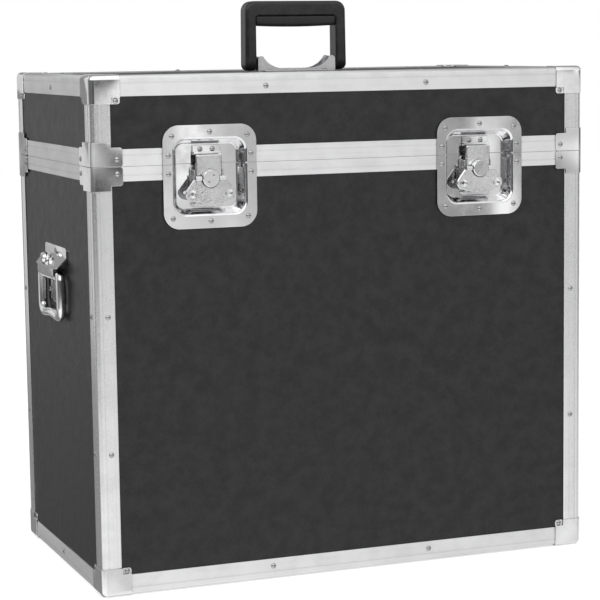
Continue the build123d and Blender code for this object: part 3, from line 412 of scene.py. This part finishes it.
@dataclass(frozen=True)
class Laminate:
    """Black laminate on plywood: fine pebble under a soft cloudy bloom."""

    name: str = "black_laminate"
    dark: Numbers = (0.003, 0.0031, 0.0034)
    pale: Numbers = (0.0185, 0.0187, 0.0198)
    tone_span: Numbers = (0.36, 0.64)       # noise where the dark tone ends, and where the pale one starts
    gloss: float = 0.36
    dull: float = 0.48
    specular: float = 0.55
    bloom: float = 18.0 * MM
    bloom_depth: float = 0.8 * MM
    bloom_share: float = 0.75               # of the tone; the grain has the rest
    grain: float = 2.5 * MM
    pebble: float = 0.8 * MM
    pebble_depth: float = 0.06 * MM
    pebble_strength: float = 0.6

    def build(self) -> bpy.types.Material:
        """Make the material.

        Returns:
            The material.
        """
        sheet = NodeSheet(self.name)
        bloom = sheet.noise(sheet.place, 1 / self.bloom, octaves=8.0, rough=0.7)
        grain = sheet.noise(sheet.place, 1 / self.grain, octaves=3.0, rough=0.7)
        mixed = sheet.maths("ADD", sheet.maths("MULTIPLY", bloom, self.bloom_share),
                            sheet.maths("MULTIPLY", grain, 1 - self.bloom_share))
        tone = sheet.spread(mixed, self.tone_span, 0.0, 1.0)
        sheet.feed("Base Color", sheet.between(tone, self.dark, self.pale))
        sheet.feed("Roughness", sheet.spread(bloom, NOISE_SPAN, self.gloss, self.dull))
        sheet.feed("Specular IOR Level", self.specular)
        pebbles = sheet.relief(sheet.cells(1 / self.pebble), self.pebble_depth, self.pebble_strength)
        sheet.feed("Normal", sheet.relief(bloom, self.bloom_depth, under=pebbles))
        return sheet.material


@dataclass(frozen=True)
class Plastic:
    """Moulded plastic or rubber with a fine spark-eroded grain."""

    name: str
    dark: Numbers
    pale: Numbers
    gloss: float
    dull: float
    clouds: float = 70.0                    # per metre
    tone_span: Numbers = (0.35, 0.65)       # noise where the dark tone ends, and where the pale one starts
    grains: float = 1800.0                  # per metre
    grain_depth: float = 0.06 * MM
    grain_strength: float = 0.7

    def build(self) -> bpy.types.Material:
        """Make the material.

        Returns:
            The material.
        """
        sheet = NodeSheet(self.name)
        cloud = sheet.noise(sheet.place, self.clouds, octaves=4.0, rough=0.6)
        grain = sheet.noise(sheet.place, self.grains, rough=0.6)
        tone = sheet.spread(cloud, self.tone_span, 0.0, 1.0)
        sheet.feed("Base Color", sheet.between(tone, self.dark, self.pale))
        sheet.feed("Roughness", sheet.spread(cloud, NOISE_SPAN, self.gloss, self.dull))
        sheet.feed("Normal", sheet.relief(grain, self.grain_depth, self.grain_strength))
        return sheet.material


@dataclass(frozen=True)
class Foam:
    """Dark open-cell foam."""

    name: str = "open_cell_foam"
    dark: Numbers = (0.018, 0.018, 0.02)
    pale: Numbers = (0.06, 0.06, 0.064)
    dull: float = 0.95
    fuzz: float = 0.15
    pores: float = 900.0                    # per metre
    pore_span: Numbers = (0.1, 0.7)         # distance at which a pore's wall starts, and ends
    pore_depth: float = 0.8 * MM
    pore_strength: float = 0.8
    cloud: float = 25.0 * MM
    cloud_tone: float = 0.6                 # share of the pores' dark that is left in a pale cloud

    def build(self) -> bpy.types.Material:
        """Make the material.

        Returns:
            The material.
        """
        sheet = NodeSheet(self.name)
        pores = sheet.cells(self.pores)
        cloud = sheet.noise(sheet.place, 1 / self.cloud, octaves=4.0)
        tone = sheet.maths("MULTIPLY", sheet.spread(pores, self.pore_span, 0.0, 1.0),
                           sheet.spread(cloud, NOISE_SPAN, self.cloud_tone, 1.0))
        sheet.feed("Base Color", sheet.between(tone, self.pale, self.dark))
        sheet.feed("Roughness", self.dull)
        sheet.feed("Sheen Weight", self.fuzz)
        sheet.feed("Normal", sheet.relief(pores, self.pore_depth, self.pore_strength))
        return sheet.material


class Finishes:
    """The finishes of the case, made once."""

    def __init__(self) -> None:
        """Build every material."""
        drawn = {"light": (0.93, 0.93, 0.935), "dark": (0.84, 0.84, 0.85), "line_depth": 0.01 * MM}
        polished = {"light": (0.9, 0.9, 0.905), "dark": (0.8, 0.8, 0.81)}
        self.by_slot = {
            Slot.LAMINATE: Laminate().build(),
            Slot.ALUMINIUM: Metal("drawn_aluminium_level", **drawn, gloss=0.46, dull=0.52, run=Run.AROUND,
                                  band_depth=0.12 * MM, anisotropy=0.8).build(),
            Slot.PLATED: Metal("bright_plate", **polished, gloss=0.05, dull=0.14,
                               wave_depth=2.4 * MM).build(),
            Slot.TURNED: Metal("turned_steel", **polished, gloss=0.08, dull=0.16).build(),
            Slot.PRESSED: Metal("zinc_plate", light=(0.82, 0.82, 0.83), dark=(0.7, 0.7, 0.71), gloss=0.18,
                                dull=0.3, wave_depth=3.0 * MM).build(),
            # the rivets get a deeper painted shade round their heads
            Slot.RIVET: Metal("rivet_steel", light=(0.52, 0.52, 0.52), dark=(0.36, 0.36, 0.36), gloss=0.05,
                              dull=0.12, cloud=4.0 * MM, crevice_shade=0.1).build(),
            Slot.PLASTIC: Plastic("handle_plastic", dark=(0.014, 0.014, 0.015), pale=(0.024, 0.024, 0.026),
                                  gloss=0.2, dull=0.3).build(),
            Slot.GRIP: Plastic("grip_rubber", dark=(0.016, 0.016, 0.017), pale=(0.024, 0.024, 0.026),
                               gloss=0.5, dull=0.62, grains=1200.0).build(),
            Slot.FOAM: Foam().build(),
        }
        self.by_ending = {
            ("_posts",): Metal("drawn_aluminium_upright", **drawn, gloss=0.24, dull=0.26, run=Run.UPRIGHT,
                               band_depth=0.3 * MM, anisotropy=0.4).build(),
            ("_caps", "_braces"): Metal("bright_corner_plate", **polished, gloss=0.06, dull=0.14,
                                        wave=110.0 * MM, wave_depth=22.0 * MM,
                                        wave_shift=(0.21, 0.09, 0.07)).build(),
            ("_wing", "_hook", "_latch_bracket"): Metal("bright_wing_plate", light=(0.8, 0.8, 0.805),
                                                        dark=(0.7, 0.7, 0.71), gloss=0.1, dull=0.2,
                                                        cloud=14.0 * MM, wave=60.0 * MM,
                                                        wave_depth=5.0 * MM, grain_depth=0.2 * MM).build(),
        }

    def for_node(self, node: CadNode) -> bpy.types.Material:
        """Finish of a CAD node: its slot's, but for pieces that are drawn or pressed in their own way.

        Args:
            node: The node.

        Returns:
            The material.
        """
        for endings, material in self.by_ending.items():
            if node.name.endswith(endings):
                return material
        return self.by_slot[node.slot]


# Modelling steps

def deselect() -> None:
    """Clear the selection, in object mode."""
    if bpy.context.object and bpy.context.object.mode != "OBJECT":
        bpy.ops.object.mode_set(mode="OBJECT")
    bpy.ops.object.select_all(action="DESELECT")


def select_only(piece: bpy.types.Object) -> None:
    """Make one object the only one selected, and the active one.

    Args:
        piece: The object.
    """
    deselect()
    piece.select_set(True)
    bpy.context.view_layer.objects.active = piece


def apply_modifier(piece: bpy.types.Object, kind: str, **settings: object) -> None:
    """Add a modifier, set it and apply it.

    Args:
        piece: Object to change.
        kind: Modifier type.
        **settings: Property values by name.
    """
    select_only(piece)
    modifier = piece.modifiers.new(kind.lower(), kind)
    for name, value in settings.items():
        setattr(modifier, name, value)
    bpy.ops.object.modifier_apply(modifier=modifier.name)


def smooth(piece: bpy.types.Object, crease: float) -> None:
    """Shade smooth, but for edges that turn by more than a crease's degrees."""
    select_only(piece)
    bpy.ops.object.shade_smooth_by_angle(angle=math.radians(crease))


def settle(piece: bpy.types.Object, name: str) -> bpy.types.Object:
    """Name a finished piece and put its place into its mesh.

    Args:
        piece: The piece.
        name: Its name.

    Returns:
        The piece.
    """
    select_only(piece)
    bpy.ops.object.transform_apply(location=True, rotation=True, scale=True)
    piece.name = name
    piece.data.name = name
    return piece


def merged_copy(node: str, name: str) -> bpy.types.Object:
    """Copy of a CAD node with its loose triangles joined and its flat faces made whole.

    Args:
        node: Name of the CAD node.
        name: Name of the copy.

    Returns:
        The copy, at the origin as the node is.
    """
    source = bpy.data.objects[node]
    piece = bpy.data.objects.new(name, source.data.copy())
    bpy.context.scene.collection.objects.link(piece)
    piece.data.materials.clear()
    select_only(piece)
    bpy.ops.object.mode_set(mode="EDIT")
    bpy.ops.mesh.select_all(action="SELECT")
    bpy.ops.mesh.remove_doubles(threshold=MERGE_WITHIN)
    bpy.ops.mesh.dissolve_limited(angle_limit=FLAT_WITHIN)
    bpy.ops.object.mode_set(mode="OBJECT")
    return piece


def put_in_order(piece: bpy.types.Object) -> None:
    """List a mesh's corners and faces by place, as sphere and extrude list them anew on each run.

    Args:
        piece: The piece, whose mesh has no data but its corners and faces.
    """
    mesh = piece.data
    order = sorted(mesh.vertices, key=lambda corner: corner.co.to_tuple(DECIMALS))
    rank = {corner.index: place for place, corner in enumerate(order)}
    faces = []
    for face in mesh.polygons:
        ring = [rank[corner] for corner in face.vertices]
        first = ring.index(min(ring))
        faces.append(ring[first:] + ring[:first])
    places = [corner.co.copy() for corner in order]
    mesh.clear_geometry()
    mesh.from_pydata(places, [], sorted(faces))


# Pieces of the case

class Maker(ABC):
    """Way of making the visible piece that stands for a CAD node."""

    @abstractmethod
    def shape(self, node: str) -> bpy.types.Object:
        """Model the piece.

        Args:
            node: Name of the CAD node.

        Returns:
            The finished piece, without its material.
        """

    def build(self, node: CadNode, finish: bpy.types.Material) -> bpy.types.Object:
        """Model the piece, and give it its finish and its body.

        Args:
            node: CAD node that it stands for.
            finish: Its material.

        Returns:
            The dressed piece.
        """
        piece = self.shape(node.name)
        piece.data.materials.clear()
        piece.data.materials.append(finish)
        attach(piece, node.body)
        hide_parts(node.name)
        return piece


@dataclass(frozen=True)
class SheetMetal(Maker):
    """Panels, extrusions and pressings, which keep their shape and get softened edges."""

    edge: float = 0.35 * MM
    rounds: int = 2
    crease: float = 30.0                    # degrees from which an edge is softened
    flat_weight: int = 80                   # pull of the large flat faces on the shading

    def shape(self, node: str) -> bpy.types.Object:
        """Soften the edges of a node.

        Args:
            node: Name of the CAD node.

        Returns:
            The softened copy.
        """
        piece = merged_copy(node, node + "_shell")
        apply_modifier(piece, "BEVEL", width=self.edge, segments=self.rounds, limit_method="ANGLE",
                       angle_limit=math.radians(self.crease))
        smooth(piece, self.crease)
        apply_modifier(piece, "WEIGHTED_NORMAL", keep_sharp=True, weight=self.flat_weight)
        return piece


@dataclass(frozen=True)
class Wire(Maker):
    """Strap bails of bent round wire, which has no edge to soften."""

    crease: float = 38.0

    def shape(self, node: str) -> bpy.types.Object:
        """Smooth one bail.

        Args:
            node: Name of the CAD node.

        Returns:
            The smoothed copy.
        """
        piece = merged_copy(node, node + "_wire")
        smooth(piece, self.crease)
        return piece


@dataclass(frozen=True)
class Moulding(Maker):
    """Handle and grip, with the full round edges of a moulding."""

    voxel: float = 1.3 * MM
    ease: float = 0.5
    rounds: int = 9
    crease: float = 60.0

    def shape(self, node: str) -> bpy.types.Object:
        """Round off one moulded piece.

        Args:
            node: Name of the CAD node.

        Returns:
            The rounded piece.
        """
        piece = merged_copy(node, node + "_moulding")
        apply_modifier(piece, "REMESH", mode="VOXEL", voxel_size=self.voxel)
        apply_modifier(piece, "SMOOTH", factor=self.ease, iterations=self.rounds)
        smooth(piece, self.crease)
        return piece


@dataclass(frozen=True)
class FoamPads(Maker):
    """Foam lining: pads with edges that have given way and faces that aren't quite flat."""

    voxel: float = 5.0 * MM
    ease: float = 0.5
    rounds: int = 5
    sag: float = 1.5 * MM
    sag_size: float = 70.0 * MM
    held_level: float = 1.0                 # height of the sag's clouds that stays put; all below it sinks
    crease: float = 180.0
    fill: float = 0.85

    def shape(self, node: str) -> bpy.types.Object:
        """Relax the pads of one node, and let their faces sag inwards.

        Args:
            node: Name of the CAD node.

        Returns:
            The pads.
        """
        piece = merged_copy(node, node + "_pads")
        apply_modifier(piece, "REMESH", mode="VOXEL", voxel_size=self.voxel)
        apply_modifier(piece, "SMOOTH", factor=self.ease, iterations=self.rounds)
        clouds = bpy.data.textures.new("foam_sag", "CLOUDS")
        clouds.noise_scale = self.sag_size
        apply_modifier(piece, "DISPLACE", texture=clouds, strength=self.sag, mid_level=self.held_level,
                       texture_coords="LOCAL")
        smooth(piece, self.crease)
        return piece

    def build(self, node: CadNode, finish: bpy.types.Material) -> bpy.types.Object:
        """Args:
            node: CAD node that they stand for.
            finish: Their material.

        Returns:
            The dressed pads.
        """
        piece = super().build(node, finish)
        return piece


@dataclass(frozen=True)
class RivetHeads(Maker):
    """Blind rivets as smooth domes, each with the small well that its drawn pin leaves."""

    segments: int = 20
    rings: int = 12
    well_above: float = 0.93                # share of the dome's height over which faces sink
    well_depth: float = 0.22                # as a share of that height
    crease: float = 50.0

    def head(self) -> bpy.types.Object:
        """Make one head of radius 1 and height 1, standing on the origin along +Z.

        Returns:
            The head.
        """
        deselect()
        bpy.ops.mesh.primitive_uv_sphere_add(segments=self.segments, ring_count=self.rings, radius=1.0)
        head = bpy.context.object
        rings_kept = self.rings // 2 - 0.5      # the cut runs half a ring above the sphere's middle
        base = math.cos(math.pi * rings_kept / self.rings)
        bpy.ops.object.mode_set(mode="EDIT")
        bpy.ops.mesh.select_all(action="SELECT")
        bpy.ops.mesh.bisect(plane_co=(0, 0, base), plane_no=(0, 0, 1), clear_inner=True, use_fill=True)
        bpy.ops.mesh.select_all(action="SELECT")
        bpy.ops.transform.translate(value=(0, 0, -base))
        bpy.ops.transform.resize(value=(1, 1, 1 / (1 - base)), center_override=(0, 0, 0))
        bpy.ops.mesh.select_all(action="DESELECT")
        bpy.ops.object.mode_set(mode="OBJECT")
        for face in head.data.polygons:
            face.select = face.center.z > self.well_above
        bpy.ops.object.mode_set(mode="EDIT")
        bpy.ops.mesh.extrude_region_move(TRANSFORM_OT_translate={"value": (0, 0, -self.well_depth)})
        bpy.ops.object.mode_set(mode="OBJECT")
        return head

    def seats(self, node: str) -> list[tuple[Vector, Vector]]:
        """Find each rivet of a CAD node.

        Args:
            node: Name of the CAD node.

        Returns:
            Middle and extents, one pair for each rivet.
        """
        copy = merged_copy(node, node + "_seats")
        bpy.ops.object.mode_set(mode="EDIT")
        bpy.ops.mesh.select_all(action="SELECT")
        bpy.ops.mesh.separate(type="LOOSE")
        bpy.ops.object.mode_set(mode="OBJECT")
        rivets = list(bpy.context.selected_objects)
        if copy not in rivets:
            rivets.append(copy)
        found = []
        for rivet in rivets:
            box = [Vector(corner) for corner in rivet.bound_box]
            lowest, highest = box[0], box[6]
            found.append((sum(box, Vector()) / len(box), highest - lowest))
            bpy.data.objects.remove(rivet)
        return found

    def dome(self, head: bpy.types.Object, seat: tuple[Vector, Vector], middle: Vector) -> bpy.types.Object:
        """Put a copy of the head on one rivet's seat.

        Args:
            head: The head, of radius 1 and height 1.
            seat: Middle and extents of the rivet, which is thinnest along its own axis.
            middle: Middle of all the node's rivets, away from which this one faces.

        Returns:
            The dome, with its place in its mesh.
        """
        centre, size = seat
        axis = min(range(3), key=lambda i: size[i])
        out = Vector((0.0, 0.0, 0.0))
        out[axis] = 1.0 if centre[axis] > middle[axis] else -1.0
        radius = max(size) / 2
        foot = centre - out * size[axis] / 2
        turn = out.to_track_quat("Z", "Y").to_matrix().to_4x4()
        stretch = Matrix.Diagonal((radius, radius, size[axis], 1.0))
        dome = bpy.data.objects.new("dome", head.data.copy())
        dome.data.transform(Matrix.Translation(foot) @ turn @ stretch)
        bpy.context.scene.collection.objects.link(dome)
        return dome

    def shape(self, node: str) -> bpy.types.Object:
        """Put a dome in the place of each rivet of a node.

        Args:
            node: Name of the CAD node.

        Returns:
            The domes as one piece.
        """
        head = self.head()
        middle = sum((Vector(corner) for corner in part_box(node)), Vector()) / 2
        domes = [self.dome(head, seat, middle) for seat in self.seats(node)]
        bpy.data.objects.remove(head)
        select_only(domes[0])
        for dome in domes:
            dome.select_set(True)
        bpy.ops.object.join()
        put_in_order(domes[0])
        piece = settle(domes[0], node + "_domes")
        smooth(piece, self.crease)
        return piece


# Studio

@dataclass(frozen=True)
class Camera:
    """The camera that took the photograph, as solved from the case's corners in it."""

    eye: Numbers = (-0.84122, -2.17916, 0.58354)
    turn_deg: Numbers = (82.742611, 0.793168, -21.308702)
    focal_px: float = 2002.87
    frame_px: float = 600.0
    sensor_mm: float = 36.0
    reach: float = 50.0

    def build(self) -> None:
        """Place the camera."""
        data = bpy.data.cameras.new("camera")
        data.sensor_width = self.sensor_mm
        data.lens = self.focal_px / self.frame_px * self.sensor_mm
        data.clip_end = self.reach
        camera = bpy.data.objects.new("camera", data)
        camera.location = self.eye
        camera.rotation_euler = [math.radians(angle) for angle in self.turn_deg]
        bpy.context.scene.collection.objects.link(camera)
        bpy.context.scene.camera = camera


@dataclass(frozen=True)
class Lamp:
    """Soft square lamp."""

    name: str
    place: Numbers
    aim: Numbers
    side: float                             # of its square, in metres
    watts: float

    def build(self) -> None:
        """Hang the lamp and turn it to its aim."""
        data = bpy.data.lights.new(self.name, "AREA")
        data.size = self.side
        data.energy = self.watts
        lamp = bpy.data.objects.new(self.name, data)
        lamp.location = self.place
        lamp.rotation_euler = (Vector(self.aim) - Vector(self.place)).to_track_quat("-Z", "Y").to_euler()
        bpy.context.scene.collection.objects.link(lamp)


@dataclass(frozen=True)
class Floor:
    """Pale floor, lifted to near white for the camera, and left out of what polished metal mirrors."""

    side: float = 14.0
    below: float = 0.5 * MM
    tone: Numbers = (0.82, 0.82, 0.82)
    dull: float = 0.9
    glow: Numbers = (1.0, 1.0, 1.0)
    lift: float = 0.62

    def paper(self) -> bpy.types.Material:
        """Make the floor's material.

        Returns:
            The material.
        """
        sheet = NodeSheet("floor_paper")
        path = sheet.node("ShaderNodeLightPath")
        sheet.feed("Base Color", self.tone)
        sheet.feed("Roughness", self.dull)
        sheet.feed("Emission Color", self.glow)
        sheet.feed("Emission Strength", sheet.maths("MULTIPLY", path.outputs["Is Camera Ray"], self.lift))
        clear = sheet.node("ShaderNodeBsdfTransparent")
        mixed = sheet.node("ShaderNodeMixShader")
        sheet.link(path.outputs["Is Glossy Ray"], mixed.inputs["Fac"])
        sheet.link(sheet.shader.outputs[0], mixed.inputs[1])
        sheet.link(clear.outputs[0], mixed.inputs[2])
        sheet.link(mixed.outputs[0], sheet.tree.nodes["Material Output"].inputs["Surface"])
        return sheet.material

    def build(self) -> None:
        """Lay the floor."""
        deselect()
        bpy.ops.mesh.primitive_plane_add(size=self.side, location=(0, 0, -self.below))
        floor = bpy.context.object
        floor.name = "floor"
        floor.data.materials.append(self.paper())


@dataclass(frozen=True)
class Room:
    """World that is white for the camera, and for all else a studio of different greys.

    The greys are strengths of light. Each span is a stretch of a direction's side, back or up over
    which one grey turns into the next: side runs from -1 at the left to 1 at the right, back from
    -1 towards the camera to 1 behind the case, and up from -1 to 1.
    """

    ceiling_left: float = 1.25
    ceiling_right: float = 0.66
    ceiling_side: Numbers = (0.2, 0.6)
    far_left: float = 0.4                   # share of the ceiling's light that is left over the left end
    far_left_side: Numbers = (-0.3, 0.1)
    ceiling_behind: float = 0.32
    ceiling_back: Numbers = (-0.3, 0.3)
    ceiling_up: Numbers = (0.0, 0.25)
    table_left: float = 1.05                # the table that the case stands on, in front of it
    table_right: float = 0.7
    table_side: Numbers = (0.25, 0.55)
    table_up: Numbers = (-0.22, -0.1)
    behind_left: float = 0.25
    behind_right: float = 1.0
    behind_side: Numbers = (-0.1, 0.15)
    front_back: Numbers = (-0.2, 0.2)
    screens: tuple[Numbers, ...] = (        # side and grey of the screens round the camera
        (-1.0, 0.12), (-0.5, 0.15), (-0.1, 0.05), (0.21, 0.05), (0.245, 1.0), (0.285, 1.0), (0.31, 0.6),
        (0.36, 0.55), (0.43, 0.28), (0.455, 0.32), (0.475, 1.1), (0.53, 1.1), (0.56, 0.1), (1.0, 0.2))

    def screen(self, nodes: Nodes, side: Socket) -> Socket:
        """Greys of the screens that stand round the camera.

        Args:
            nodes: World's nodes.
            side: Side of the direction.

        Returns:
            The grey.
        """
        ramp = nodes.node("ShaderNodeValToRGB")
        stops = ramp.color_ramp.elements
        while len(stops) < len(self.screens):
            stops.new(position=0.5)
        for stop, (direction, grey) in zip(stops, self.screens):
            stop.position = (direction + 1) / 2
            stop.color = (grey, grey, grey, 1.0)
        share = nodes.maths("MULTIPLY", nodes.maths("ADD", side, 1.0), 0.5)
        nodes.link(share, ramp.inputs["Fac"])
        return ramp.outputs["Color"]

    def light(self, nodes: Nodes) -> Socket:
        """Light that comes from each direction.

        Args:
            nodes: World's nodes.

        Returns:
            The strength.
        """
        toward = nodes.node("ShaderNodeSeparateXYZ")
        nodes.link(nodes.node("ShaderNodeTexCoord").outputs["Generated"], toward.inputs[0])
        side, back, up = toward.outputs

        behind = nodes.spread(side, self.behind_side, self.behind_left, self.behind_right)
        walls = nodes.spread(back, self.front_back, self.screen(nodes, side), behind)
        table = nodes.spread(side, self.table_side, self.table_left, self.table_right)
        table = nodes.spread(back, self.front_back, table, behind)
        ceiling = nodes.spread(side, self.ceiling_side, self.ceiling_left, self.ceiling_right)
        ceiling = nodes.maths("MULTIPLY", ceiling, nodes.spread(side, self.far_left_side, self.far_left, 1.0))
        ceiling = nodes.spread(back, self.ceiling_back, ceiling, self.ceiling_behind)
        return nodes.spread(up, self.ceiling_up, nodes.spread(up, self.table_up, table, walls), ceiling)

    def build(self) -> None:
        """Set up the world."""
        world = bpy.data.worlds.new("studio")
        bpy.context.scene.world = world
        world.use_nodes = True
        nodes = Nodes(world.node_tree)
        path = nodes.node("ShaderNodeLightPath")
        background = world.node_tree.nodes["Background"]
        background.inputs["Color"].default_value = (1.0, 1.0, 1.0, 1.0)
        strength = nodes.maths("MAXIMUM", self.light(nodes), path.outputs["Is Camera Ray"])
        nodes.link(strength, background.inputs["Strength"])


@dataclass(frozen=True)
class Studio:
    """All that stands round the case."""

    room: Room = Room()
    floor: Floor = Floor()
    lamps: tuple[Lamp, ...] = (
        Lamp("key", place=(-1.6, -2.4, 2.4), aim=(0, 0, 0.3), side=3.0, watts=32.0),
        Lamp("fill", place=(2.2, -1.8, 1.2), aim=(0, 0, 0.3), side=1.8, watts=2.0),
        Lamp("edge", place=(-2.4, 2.4, 1.5), aim=(-0.29, 0, 0.3), side=4.0, watts=22.0))
    camera: Camera = Camera()

    def build(self) -> None:
        """Set up the whole studio."""
        for item in (self.room, self.floor, *self.lamps, self.camera):
            item.build()
        bpy.context.scene.view_settings.view_transform = "Standard"


def main() -> None:
    """Build the dressed case in its studio."""
    logging.basicConfig(level=logging.INFO, format="%(message)s")
    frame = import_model()
    finishes = Finishes()
    slots = {part["node"]: Slot(part["material_slot"]) for part in frame["record"]["subparts"]}
    sheet_metal, wire, moulding = SheetMetal(), Wire(), Moulding()
    makers = {Slot.FOAM: FoamPads(), Slot.RIVET: RivetHeads(), Slot.PLASTIC: moulding, Slot.GRIP: moulding}
    for body, names in frame["record"]["behaviour"]["bodies"].items():
        for name in names:
            node = CadNode(name, slots[name], body)
            maker = wire if name.endswith("_bail") else makers.get(node.slot, sheet_metal)
            piece = maker.build(node, finishes.for_node(node))
            LOG.info("%s: %d faces on %s", piece.name, len(piece.data.polygons), body)
    Studio().build()


if __name__ == "__main__":
    main()
